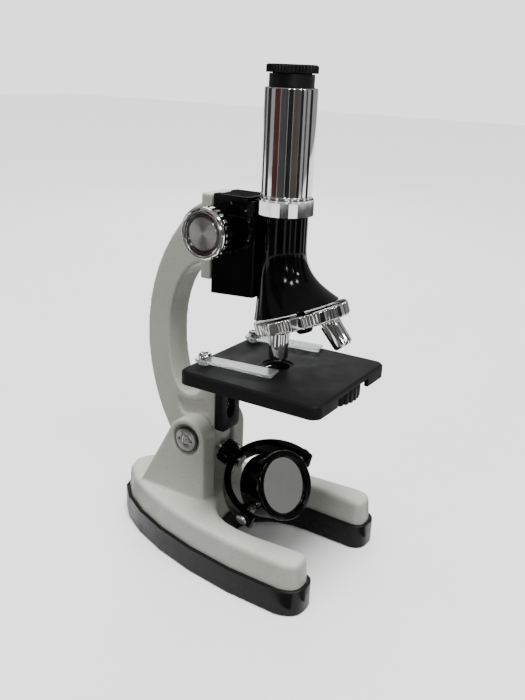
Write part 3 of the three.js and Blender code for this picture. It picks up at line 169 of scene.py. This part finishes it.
def chrome():
    look = Look("chrome", (0.74, 0.745, 0.74), 0.06, 1.0)
    look.tint(look.noise(16, 3), (0.62, 0.625, 0.62), 0.5)
    look.tint(look.noise(0.6, 2), (0.3, 0.29, 0.27), 0.35, 0.68, 0.76)
    look.rough(look.noise(9, 4), 0.035, 0.1)
    look.bump(look.noise(9, 2, (1, 1, 0.25)), 0.06, 0.35)
    look.bump(look.noise(2.6, 2), 0.004, 0.3)
    return look.material


def spun(name, centre, axis_row, rim):
    """Metal turned on a lathe: fine rings round centre, shine that fans out, and painted shade, near black,
    further out than rim.
    """
    look = Look(name, (0.40, 0.395, 0.38), 0.28, 1.0, Anisotropic=0.92, Anisotropic_Rotation=0.25)
    tree = look.tree
    mapping = tree.nodes.new("ShaderNodeMapping")
    mapping.vector_type = "POINT"
    mapping.inputs["Location"].default_value = tuple(-value * MM for value in centre)
    look.link(look.place, mapping.inputs["Vector"])
    flat = tree.nodes.new("ShaderNodeVectorMath")
    flat.operation = "MULTIPLY"
    flat.inputs[1].default_value = axis_row
    look.link(mapping.outputs["Vector"], flat.inputs[0])
    length = tree.nodes.new("ShaderNodeVectorMath")
    length.operation = "LENGTH"
    look.link(flat.outputs["Vector"], length.inputs[0])
    rings = tree.nodes.new("ShaderNodeTexNoise")
    rings.noise_dimensions = "1D"
    rings.inputs["Scale"].default_value = 1 / (0.16 * MM)
    rings.inputs["Detail"].default_value = 2.0
    look.link(length.outputs["Value"], rings.inputs["W"])
    around = tree.nodes.new("ShaderNodeVectorMath")
    around.operation = "CROSS_PRODUCT"
    around.inputs[1].default_value = tuple(1.0 - value for value in axis_row)
    look.link(flat.outputs["Vector"], around.inputs[0])
    unit = tree.nodes.new("ShaderNodeVectorMath")
    unit.operation = "NORMALIZE"
    look.link(around.outputs["Vector"], unit.inputs[0])
    look.link(unit.outputs["Vector"], look.shader.inputs["Tangent"])
    look.tint(rings.outputs["Fac"], (0.26, 0.25, 0.24), 0.5, 0.45, 0.7)
    look.tint(look.noise(3, 4), (0.32, 0.31, 0.28), 0.4)
    # Painted shade: further out than rim from the centre the metal is painted near black, standing in for the
    # shadowed gap round the disc.
    look.tint(length.outputs["Value"], (0.05, 0.05, 0.05), 0.9, rim * MM, (rim + 0.35) * MM)
    look.bump(rings.outputs["Fac"], 0.012, 0.4)
    return look.material


def steel():
    look = Look("steel", (0.5, 0.5, 0.49), 0.28, 1.0)
    look.tint(look.noise(1.6, 4), (0.38, 0.37, 0.35), 0.4)
    look.rough(look.noise(1.1, 4), 0.22, 0.36)
    look.bump(look.noise(0.3, 2), 0.01, 0.5)
    return look.material


def brass():
    look = Look("brass", (0.62, 0.45, 0.18), 0.3, 1.0)
    look.tint(look.noise(2.2, 4), (0.34, 0.23, 0.1), 0.6)
    look.rough(look.noise(1.4, 3), 0.22, 0.45)
    look.bump(look.noise(0.4, 2), 0.012, 0.5)
    return look.material


def clear_plastic():
    look = Look(
        "clear_plastic", (0.80, 0.84, 0.84), 0.14, IOR=1.46, Transmission_Weight=0.86, Specular_IOR_Level=0.5,
    )
    look.tint(look.noise(6, 4), (0.7, 0.73, 0.73), 0.5)
    look.rough(look.noise(1.3, 5), 0.08, 0.24)
    look.bump(look.noise(2.5, 3), 0.02, 0.3)
    return look.material


def lens_glass():
    look = Look("lens_glass", (0.9, 0.93, 0.94), 0.03, IOR=1.52, Transmission_Weight=0.9, Coat_Weight=0.4)
    look.tint(look.noise(4, 3), (0.8, 0.86, 0.9), 0.4)
    look.rough(look.noise(3, 3), 0.02, 0.06)
    return look.material


def mirror_glass():
    look = Look("mirror_glass", (0.50, 0.505, 0.48), 0.06, 1.0)
    look.tint(look.noise(12, 4), (0.44, 0.445, 0.42), 0.5)
    look.tint(look.noise(0.7, 2), (0.34, 0.34, 0.32), 0.25, 0.7, 0.78)
    look.rough(look.noise(7, 5), 0.04, 0.12)
    return look.material


def frosted():
    look = Look("frosted", (0.82, 0.83, 0.8), 0.45, Transmission_Weight=0.3, Subsurface_Weight=0.2)
    look.tint(look.noise(5, 3), (0.72, 0.73, 0.68), 0.5)
    look.rough(look.noise(2, 3), 0.35, 0.55)
    look.bump(look.noise(1.2, 2), 0.03, 0.4)
    return look.material


KNOB_Y, KNOB_Z = 2.8, 153.2
PIVOT_Y, PIVOT_Z = 13.9, 53.8
PAINT = cast_paint()
SHOE = shoe_black()
GLOSS = gloss_black()
STAGE = stage_black()
KNURL = knurled_black()
CHROME = chrome()
STEEL = steel()
BRASS = brass()
CLEAR = clear_plastic()
LENS = lens_glass()
MIRROR = mirror_glass()
FROSTED = frosted()
SPUN_KNOB = spun("spun_knob", (0, KNOB_Y, KNOB_Z), (0.0, 1.0, 1.0), 6.9)
SPUN_PIVOT = spun("spun_pivot", (0, PIVOT_Y, PIVOT_Z), (0.0, 1.0, 1.0), 5.3)

FINISH = {
    "base_casting": PAINT, "arm_casting": PAINT, "base_shoe": SHOE,
    "stage_plate": STAGE, "stage_post": STAGE, "diaphragm_wheel": KNURL, "eyepiece_barrel": KNURL,
    "eyepiece_cap": KNURL, "carriage_body": GLOSS, "turret_screw": GLOSS, "mirror_fork": GLOSS,
    "stem_nut": GLOSS, "mirror_drum": GLOSS, "mirror_glass": MIRROR, "lamp_window": FROSTED,
    "lamp_bulb": FROSTED, "lamp_board": STAGE, "focus_rack": BRASS, "tube_collar": CHROME,
    "body_tube": CHROME, "turret_disc": CHROME, "objective": CHROME, "focus_knob": CHROME,
    "clip_screw": CHROME, "stage_clip": CLEAR, "clip_collar": CLEAR, "eye_lens": LENS,
    "field_lens": LENS, "objective_lens": LENS, "knob_face": SPUN_KNOB, "pivot_disc": SPUN_PIVOT,
}


def finish_of(name):
    keys = [key for key in FINISH if name.startswith(key)]
    return FINISH[max(keys, key=len)] if keys else STEEL


# ---- CAD nodes: materials, softened edges, smooth curves ----------------------------------------
CAST = {"base_casting": (0.55, 14), "arm_casting": (0.55, 14)}
BEVELS = {
    "stage_plate": 0.35, "stage_post": 0.3, "tube_collar": 0.25, "mirror_fork": 0.5,
    "stem_nut": 0.3, "focus_knob": 0.2, "turret_disc": 0.2, "eyepiece_cap": 0.12, "diaphragm_wheel": 0.2,
    "turret_screw": 0.3, "clip_screw": 0.2, "clip_collar": 0.25, "objective": 0.15,
    "mirror_drum": 0.25, "fork_pin": 0.25, "pivot_disc": 0.15, "pivot_screw": 0.12,
}


def smooth(obj, angle):
    for polygon in obj.data.polygons:
        polygon.use_smooth = True
    chosen = {"object": obj, "active_object": obj, "selected_objects": [obj], "selected_editable_objects": [obj]}
    with bpy.context.temp_override(**chosen):
        bpy.ops.object.shade_smooth_by_angle(angle=math.radians(angle))


def soften(obj, width, crease, segments=3, angle=28):
    """Joins the faces of a CAD node, rounds its edges by width and keeps edges sharper than crease."""
    obj.modifiers.new("join", "WELD").merge_threshold = 0.002 * MM
    flat = obj.modifiers.new("faces", "DECIMATE")
    flat.decimate_type = "DISSOLVE"
    flat.angle_limit = math.radians(1.0)
    if width:
        bevelled(obj, width, segments, angle)
    obj.modifiers.new("creases", "EDGE_SPLIT").split_angle = math.radians(crease)


def bevelled(obj, width, segments=3, angle=30):
    bevel = obj.modifiers.new("edges", "BEVEL")
    bevel.width = width * MM
    bevel.segments = segments
    bevel.limit_method = "ANGLE"
    bevel.angle_limit = math.radians(angle)
    return obj


def cast(obj, voxel, passes):
    remesh = obj.modifiers.new("skin", "REMESH")
    remesh.mode = "VOXEL"
    remesh.voxel_size = voxel * MM
    remesh.use_smooth_shade = True
    even = obj.modifiers.new("sand", "SMOOTH")
    even.factor = 0.5
    even.iterations = passes


for name, obj in NODES.items():
    obj.data.materials.clear()
    obj.data.materials.append(finish_of(name))
    width = [BEVELS[key] for key in BEVELS if name.startswith(key) and not name.startswith("objective_lens")]
    if name in CAST:
        smooth(obj, 180)
        cast(obj, *CAST[name])
        continue
    smooth(obj, 180)
    soften(obj, width[0] if width else 0, 12 if name == "tube_collar" else 33)


# ---- Detailed pieces ----------------------------------------------------------------------------
def mesh_piece(name, vertices, faces, material, body, slot, replaces=(), angle=30):
    mesh = bpy.data.meshes.new(name)
    mesh.from_pydata([Vector(v) * MM for v in vertices], [], faces)
    mesh.validate()
    work = bmesh.new()
    work.from_mesh(mesh)
    bmesh.ops.recalc_face_normals(work, faces=work.faces)
    work.to_mesh(mesh)
    work.free()
    obj = bpy.data.objects.new(name, mesh)
    bpy.context.scene.collection.objects.link(obj)
    mesh.materials.append(material)
    smooth(obj, angle)
    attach(obj, body)
    if replaces:
        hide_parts(*replaces)
    return obj


def rounded(profile, radius, steps=4):
    """A profile with its inner corners turned into small arcs."""
    points = [Vector(p) for p in profile]
    result = [points[0]]
    for before, here, after in zip(points, points[1:], points[2:]):
        into, out = before - here, after - here
        reach = min(radius, into.length * 0.45, out.length * 0.45)
        start, end = here + into.normalized() * reach, here + out.normalized() * reach
        for step in range(steps + 1):
            t = step / steps
            result.append(start * (1 - t) ** 2 + here * (2 * t * (1 - t)) + end * t ** 2)
    result.append(points[-1])
    return [tuple(p) for p in result]


def lathe(profile, segments, place=None, reach=None):
    """A turned body: the profile runs from axis to axis, or is a closed loop when its ends meet."""
    place = place or Matrix.Identity(4)
    loop = Vector(profile[0]) == Vector(profile[-1])
    profile = profile[:-1] if loop else profile
    vertices, rows, faces = [], [], []
    for radius, height in profile:
        count = 1 if radius < 1e-6 else segments
        rows.append((len(vertices), count))
        for index in range(count):
            angle = 2 * math.pi * index / segments
            grow = reach(angle, radius, height) if reach else 0.0
            across = radius + grow
            vertices.append(place @ Vector((across * math.cos(angle), across * math.sin(angle), height)))
    pairs = list(zip(rows, rows[1:])) + ([(rows[-1], rows[0])] if loop else [])
    for (low, low_count), (high, high_count) in pairs:
        for index in range(segments):
            after = (index + 1) % segments
            corners = [low + index % low_count, low + after % low_count]
            corners += [high + after % high_count, high + index % high_count]
            face = list(dict.fromkeys(corners))
            if len(face) > 2:
                faces.append(face)
    return vertices, faces


def on_axis():
    return Matrix.Translation((0, AXIS_Y, 0))


def facing(side, x, y, z):
    """A turned piece's own +Z becomes +X or -X, and its origin goes to x, y, z."""
    turn = Matrix.Rotation(side * math.pi / 2, 4, "Y")
    return Matrix.Translation((side * x, y, z)) @ turn


def turned_piece(name, profile, segments, place, material, body, slot, replaces=(), reach=None, angle=30):
    vertices, faces = lathe(profile, segments, place, reach)
    return mesh_piece(name, vertices, faces, material, body, slot, replaces, angle)


def ribs(count, depth, inner, share=0.5, groups=None):
    """Knurling for points further out than inner; with groups, ribs fill share of each group's arc."""
    def reach(angle, radius, height):
        if radius < inner:
            return 0.0
        turn = angle / (2 * math.pi)
        if groups and (turn * groups) % 1.0 > share:
            return 0.0
        return -depth * (0.5 - 0.5 * math.cos(turn * count * 2 * math.pi)) ** 0.6
    return reach


# Knob faces: a shallow spun cone between stepped rings.
FACE = [
    (0, 6.32), (6.9, 6.6), (7.1, 6.3), (7.45, 6.3), (7.7, 6.75), (8.2, 6.75), (8.5, 6.4), (8.5, 5.5), (0, 5.5),
]
for side, name in ((-1, "left"), (1, "right")):
    place = facing(side, 15.6, KNOB_Y, KNOB_Z)
    turned_piece(
        f"spun_face_{name}", rounded(FACE, 0.14, 3), 96, place, SPUN_KNOB, "pinion", "spun_metal",
        [f"knob_face_{name}"],
    )

# Eyepiece: finely knurled flange with a dished top.
CAP = [
    (4.2, 218.1), (4.2, 220.0), (8.1, 221.4), (9.6, 221.4), (10.5, 220.9), (10.5, 218.1),
    (7.9, 218.1), (7.9, 214.2), (4.4, 214.2), (4.2, 218.1),
]
turned_piece(
    "eyepiece_flange", rounded(CAP, 0.3, 3), 288, on_axis(), KNURL, "eyepiece", "wheel_black",
    ["eyepiece_cap"], ribs(48, 0.42, 10.2), 40,
)

# Turret: ribs in groups with plain lands between them, on a domed disc.
TURRET_TILT = math.radians(20)
TURRET = Matrix.Translation((0, -34.3, 119)) @ Matrix.Rotation(-TURRET_TILT, 4, "X")
DISC = [
    (1.9, -2.9), (17.2, -2.9), (18.2, -2.3), (19.4, -2.2), (20.3, -2.9), (20.8, -2.3), (20.8, 2.3),
    (20.2, 2.9), (1.9, 2.9), (1.9, -2.9),
]
turned_piece(
    "turret_plate", rounded(DISC, 0.35, 3), 480, TURRET, CHROME, "turret", "chrome", ["turret_disc"],
    ribs(96, 0.45, 20.55, 0.62, 12), 40,
)

# Tube: a straight chrome sleeve with a rolled mouth and a thin bead above the collar.
TUBE = [
    (9.6, 166.2), (10.7, 166.2), (10.7, 169.6), (10.85, 169.75), (10.85, 170.15), (10.7, 170.3),
    (10.7, 212.2), (10.4, 212.6), (9.6, 212.6), (9.6, 166.2),
]
turned_piece(
    "tube_sleeve", rounded(TUBE, 0.2, 3), 128, on_axis(), CHROME, "carriage", "chrome", ["body_tube"],
)


def bell(sides=96, steps=40):
    """The flared neck: its rings slide forward and tip towards the turret as they widen."""
    vertices, faces = [], []
    for step in range(steps + 1):
        down = step / steps
        flare = max(0.0, (down - 0.32) / 0.68) ** 2.3
        radius = 9.8 + 9.2 * flare
        y, z = AXIS_Y - 7.9 * flare, 162 - 39.8 * down
        t = min(max((down - 0.3) / 0.7, 0.0), 1.0)
        tilt = TURRET_TILT * t * t * (3 - 2 * t)
        for side in range(sides):
            angle = 2 * math.pi * side / sides
            across = radius * math.sin(angle)
            x = radius * math.cos(angle)
            vertices.append((x, y + across * math.cos(tilt), z - across * math.sin(tilt)))
    for step in range(steps):
        for side in range(sides):
            here, after = step * sides + side, step * sides + (side + 1) % sides
            faces.append([here, here + sides, after + sides, after])
    faces.append(list(range(sides)))
    faces.append([steps * sides + side for side in range(sides)][::-1])
    return vertices, faces


def prism(outline, low, high):
    """An outline in X and Y between two heights; low may depend on x and y."""
    count = len(outline)
    vertices = [(x, y, low(x, y) if callable(low) else low) for x, y in outline]
    vertices += [(x, y, high) for x, y in outline]
    faces = [[at, (at + 1) % count, count + (at + 1) % count, count + at] for at in range(count)]
    faces += [list(range(count))[::-1], list(range(count, 2 * count))]
    return vertices, faces


def gather(*parts):
    """Several closed bodies as one list of vertices and faces."""
    vertices, faces = [], []
    for part_vertices, part_faces in parts:
        start = len(vertices)
        vertices += part_vertices
        faces += [[start + index for index in face] for face in part_faces]
    return vertices, faces


def way(wide, front, back=7.0):
    """Plan of the carriage with the dovetail way in its back."""
    mouth, root, depth = 4.16, 5.1, 4.9
    return [
        (-wide, front), (wide, front), (wide, back), (mouth, back), (root, depth), (-root, depth), (-mouth, back),
        (-wide, back),
    ]


BELL = mesh_piece("bell_neck", *bell(), GLOSS, "carriage", "gloss_black", ["carriage_body"], 50)
bevelled(BELL, 0.5, 4, 50)
block = gather(
    prism(way(9.6, -15), lambda x, y: 124.6 + 1.6 * (7 - y) / 28.7, 160.2),
    prism(way(9.0, -11), 159.6, 168.4),
)
bevelled(mesh_piece("carriage_block", *block, GLOSS, "carriage", "gloss_black"), 0.55, 4)
LUG = [(0, 158), (2.3, 158), (2.3, 166.2), (1.9, 166.8), (0, 166.8)]
web = gather(
    prism([(-6, -20), (6, -20), (6, -14), (-6, -14)], 126.0, 159.8),
    prism([(-5.4, -18), (5.4, -18), (5.4, -10), (-5.4, -10)], 158, 167.4),
    lathe(LUG, 24, Matrix.Translation((-6.4, -11, 0))),
    lathe(LUG, 24, Matrix.Translation((6.4, -11, 0))),
)
bevelled(mesh_piece("carriage_web", *web, GLOSS, "carriage", "gloss_black"), 0.4, 3)
BOSS = rounded([(1.9, 8.6), (4, 8.6), (4, 15.0), (1.9, 15.0), (1.9, 8.6)], 0.3, 3)
for side, name in ((-1, "left"), (1, "right")):
    place = facing(side, 0, KNOB_Y, KNOB_Z)
    turned_piece(f"shaft_boss_{name}", BOSS, 48, place, GLOSS, "carriage", "gloss_black")

# Spring clips: clear strips with a rounded heel that widen towards a square tip.
STRIP = 1.2
RUN = [(-4, 1.7, 2.2), (-2.6, 1.7, 3.3), (0, 1.7, 3.6), (4, 1.7, 3.6), (30, 0.72, 4.3), (33, 0.8, 4.4)]
for side, name, turn in ((-1, "left", 10), (1, "right", 13)):
    vertices, faces = [], []
    for along, height, half in RUN:
        top = height + STRIP
        vertices += [(-half, -along, height), (half, -along, height), (half, -along, top), (-half, -along, top)]
    for index in range(len(RUN) - 1):
        at = index * 4
        faces += [[at + a, at + (a + 1) % 4, at + 4 + (a + 1) % 4, at + 4 + a] for a in range(4)]
    last = len(vertices)
    faces += [[0, 1, 2, 3], [last - 1, last - 2, last - 3, last - 4]]
    place = Matrix.Translation((side * 20.2, 1.6, 95)) @ Matrix.Rotation(math.radians(turn), 4, "Z")
    vertices = [place @ Vector(v) for v in vertices]
    clip = mesh_piece(f"spring_clip_{name}", vertices, faces, CLEAR, f"clip_{name}", "clear_plastic",
                      [f"stage_clip_{name}"], 40)
    bevelled(clip, 0.22, 3, 35)

# ---- Stage set: floor, light, camera ------------------------------------------------------------
floor_mesh = bpy.data.meshes.new("floor")
HALF = 4.0
corners = [(-HALF, -HALF, 0), (HALF, -HALF, 0), (HALF, HALF, 0), (-HALF, HALF, 0)]
floor_mesh.from_pydata(corners, [], [(0, 1, 2, 3)])
floor = bpy.data.objects.new("floor", floor_mesh)
bpy.context.scene.collection.objects.link(floor)
floor_look = Look("floor_white", (0.9, 0.9, 0.895), 0.7)
floor_look.tint(floor_look.noise(240, 2), (0.88, 0.88, 0.875), 0.4)
floor_mesh.materials.append(floor_look.material)
floor.visible_diffuse = False


def light(name, place, target, size, power, glossy=True):
    data = bpy.data.lights.new(name, "AREA")
    data.shape = "RECTANGLE"
    data.size, data.size_y = size
    data.energy = power
    obj = bpy.data.objects.new(name, data)
    obj.location = place
    aim = Vector(target) - Vector(place)
    obj.rotation_euler = aim.to_track_quat("-Z", "Y").to_euler()
    bpy.context.scene.collection.objects.link(obj)
    obj.visible_glossy = glossy
    return obj


MIDDLE = (0, 0, 0.11)
light("key", (-0.35, -0.75, 1.0), MIDDLE, (0.3, 0.3), 2.0, glossy=False)
light("fill", (-0.95, 0.25, 0.55), MIDDLE, (0.2, 0.9), 0.9, glossy=False)
light("rim", (0.8, 0.5, 0.7), MIDDLE, (0.3, 0.9), 3.0)
light("top", (0.05, 0.1, 1.3), MIDDLE, (0.7, 0.7), 4.0, glossy=False)
sun_data = bpy.data.lights.new("sky", "SUN")
sun_data.energy = 5.6
sun_data.angle = math.radians(28)
sun = bpy.data.objects.new("sky", sun_data)
sun.rotation_euler = Vector((0.10, 0.12, -1.0)).to_track_quat("-Z", "Y").to_euler()
sun.visible_glossy = False
bpy.context.scene.collection.objects.link(sun)
# Small lamps that only shiny surfaces see: the dots of light on the bell.
LAMPS = [
    (-1.0, -0.42, 0.98), (-0.62, -0.66, 1.24), (-0.16, -0.98, 1.36), (-0.92, -0.82, 0.54),
    (-0.42, -1.16, 0.76), (0.1, -1.26, 0.98),
]
for index, place in enumerate(LAMPS):
    light(f"lamp_{index}", place, (0, -0.03, 0.13), (0.18, 0.12), 4.0).visible_diffuse = False


def card(name, start, end, colour, inner, outer):
    """A curved card, between two compass angles round the object, that only shiny surfaces see.
    inner and outer are the radius and height of its two long edges."""
    steps = max(2, int((end - start) / 4))
    angles = [math.radians(start + (end - start) * step / steps) for step in range(steps + 1)]
    rims = [(r * math.cos(angle), r * math.sin(angle), z) for r, z in (inner, outer) for angle in angles]
    mesh = bpy.data.meshes.new(name)
    mesh.from_pydata(rims, [], [(i, i + 1, i + steps + 2, i + steps + 1) for i in range(steps)])
    obj = bpy.data.objects.new(name, mesh)
    look = Look(name, colour, 0.9)
    look.tint(look.noise(160, 3), tuple(value * 0.5 for value in colour), 0.6)
    mesh.materials.append(look.material)
    bpy.context.scene.collection.objects.link(obj)
    for ray in ("visible_camera", "visible_diffuse", "visible_shadow", "visible_transmission"):
        setattr(obj, ray, False)
    return obj


CARD_RADIUS, SECTOR_HEIGHT = 1.1, 0.004
# Compass angles and colours of the cards that the chrome mirrors as upright stripes.
CARDS = [
    (139, 166, (0.13, 0.035, 0.03)), (168, 200, (0.11, 0.11, 0.11)), (202, 222, (0.015, 0.015, 0.015)),
    (224, 252, (0.16, 0.135, 0.11)), (253, 266, (0.012, 0.012, 0.012)), (278, 286, (0.08, 0.08, 0.08)),
    (302, 318, (0.02, 0.02, 0.02)), (18, 42, (0.03, 0.03, 0.03)), (60, 84, (0.12, 0.12, 0.12)),
    (96, 118, (0.03, 0.03, 0.03)),
]
for index, (start, end, colour) in enumerate(CARDS):
    card(f"card_{index}", start, end, colour, (CARD_RADIUS, 0.03), (CARD_RADIUS, 1.3))
# Dark sectors lying on the pale table that only shiny surfaces see: painted reflections, so that the lower chrome
# has something to show.
SECTORS = [(2, 20, 0.05), (33, 60, 0.03), (72, 88, 0.09), (97, 119, 0.03), (133, 166, 0.05), (176, 209, 0.02),
           (219, 236, 0.03), (243, 262, 0.06), (270, 296, 0.02), (305, 322, 0.05), (331, 352, 0.03)]
for index, (start, end, grey) in enumerate(SECTORS):
    colour = (grey, grey * 0.97, grey * 0.93)
    card(f"sector_{index}", start, end, colour, (0.07, SECTOR_HEIGHT), (CARD_RADIUS, SECTOR_HEIGHT))

AMBIENT, BACKDROP = 0.36, 2.0
world = bpy.data.worlds.new("studio")
world.use_nodes = True
background = world.node_tree.nodes["Background"]
background.inputs["Color"].default_value = (1.0, 1.0, 1.0, 1.0)
rays = world.node_tree.nodes.new("ShaderNodeLightPath")
bright = world.node_tree.nodes.new("ShaderNodeMapRange")
bright.inputs["To Min"].default_value = AMBIENT
bright.inputs["To Max"].default_value = BACKDROP
world.node_tree.links.new(rays.outputs["Is Camera Ray"], bright.inputs["Value"])
world.node_tree.links.new(bright.outputs["Result"], background.inputs["Strength"])
bpy.context.scene.world = world

camera_data = bpy.data.cameras.new("camera")
EYE = (-0.2938, -0.1923, 0.2194)
camera_data.lens = 41.57
camera_data.sensor_width = 36.0
camera_data.clip_start = 0.01
camera = bpy.data.objects.new("camera", camera_data)
forward = Vector((0.809, 0.487, -0.329)).normalized()
right = Vector((0.5274, -0.8486, 0.0410))
right = (right - forward * right.dot(forward)).normalized()
up = right.cross(forward)
camera.matrix_world = Matrix((
    (right.x, up.x, -forward.x, EYE[0]),
    (right.y, up.y, -forward.y, EYE[1]),
    (right.z, up.z, -forward.z, EYE[2]),
    (0, 0, 0, 1),
))
bpy.context.scene.collection.objects.link(camera)
bpy.context.scene.camera = camera
